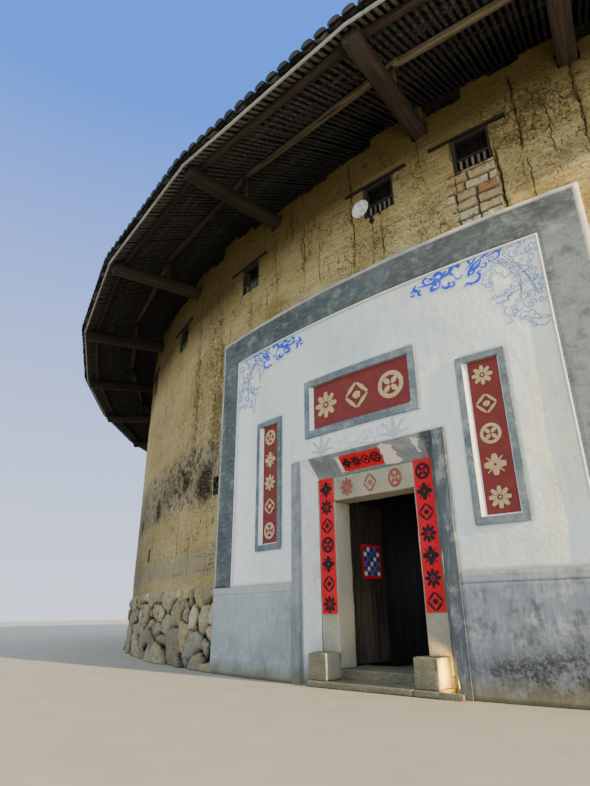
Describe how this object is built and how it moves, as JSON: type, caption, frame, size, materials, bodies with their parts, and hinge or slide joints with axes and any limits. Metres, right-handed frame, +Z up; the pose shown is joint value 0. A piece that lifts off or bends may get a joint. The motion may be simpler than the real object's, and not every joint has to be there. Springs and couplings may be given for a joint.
{
  "type": "tulou roundhouse, 1:2 scale model",
  "caption": "Round rammed-earth clan house on a rubble plinth, with a plastered granite gateway, swinging gate leaves, a tiled ring roof on log beams and timber galleries round an open yard.",
  "frame": {"origin": "centre of the ring on the ground", "axes": "+Z up, the gateway faces -Y, +X to the right of someone who faces the gateway"},
  "size_m": [22.5339, 22.506, 5.9014],
  "materials": {
    "rammed_earth": "rough, coursed, pitted and smoke-stained",
    "rubble_stone": "rounded field stones in clay",
    "limewash": "pale, cracked and weathered",
    "grey_plaster": "brushed slate-grey render",
    "painted_board": "faded maroon paint with gold pattern",
    "granite": "hand-dressed, worn",
    "dark_timber": "old oiled planks",
    "weathered_timber": "unpainted, weathered",
    "roof_tile": "matt grey clay tiles",
    "lamp_shade": "white, dusty"
  },
  "bodies": {
    "building": {"plinth_right_front": "rubble_stone", "plinth_right_back": "rubble_stone", "plinth_left_back": "rubble_stone", "plinth_left_front": "rubble_stone", "plinth_gate_left": "rubble_stone", "plinth_gate_right": "rubble_stone", "earth_wall_right_front": "rammed_earth", "earth_wall_right_back": "rammed_earth", "earth_wall_left_back": "rammed_earth", "earth_wall_left_front": "rammed_earth", "earth_wall_gate_left": "rammed_earth", "earth_wall_gate_right": "rammed_earth", "earth_wall_over_gate": "rammed_earth", "passage_lintel": "weathered_timber", "limewashed_panel": "limewash", "panel_border": "grey_plaster", "dado_left": "grey_plaster", "dado_right": "grey_plaster", "gate_plaque": "painted_board", "couplet_left": "painted_board", "couplet_right": "painted_board", "door_surround": "grey_plaster", "doorstep": "granite", "door_sill": "granite", "granite_jamb_left": "granite", "granite_jamb_right": "granite", "granite_lintel": "granite", "door_block_left": "granite", "door_block_right": "granite", "door_head": "dark_timber", "wall_lamp": "lamp_shade", "first_floor": "weathered_timber", "second_floor": "weathered_timber", "gallery_posts_right": "weathered_timber", "gallery_posts_left": "weathered_timber", "gallery_rail_first": "weathered_timber", "gallery_rail_second": "weathered_timber", "hall_partition_left": "dark_timber", "hall_partition_right": "dark_timber", "roof_beams_right": "weathered_timber", "roof_beams_left": "weathered_timber", "purlin_overhang": "weathered_timber", "purlin_wall": "weathered_timber", "purlin_ridge": "weathered_timber", "purlin_yard": "weathered_timber", "tile_roof_front": "roof_tile", "tile_roof_right": "roof_tile", "tile_roof_back": "roof_tile", "tile_roof_left": "roof_tile", "roof_ridge": "roof_tile"},
    "left_leaf": {"door_leaf_left": "dark_timber"},
    "right_leaf": {"door_leaf_right": "dark_timber"}
  },
  "joints": [
    {"name": "left_leaf_hinge", "type": "hinge", "parent": "building", "child": "left_leaf", "pos_m": [-0.4, -9.805, 0.6], "axis": [0, 0, 1], "range_deg": [-83, 7]},
    {"name": "right_leaf_hinge", "type": "hinge", "parent": "building", "child": "right_leaf", "pos_m": [0.4, -9.805, 0.6], "axis": [0, 0, -1], "range_deg": [-83, 7]}
  ]
}
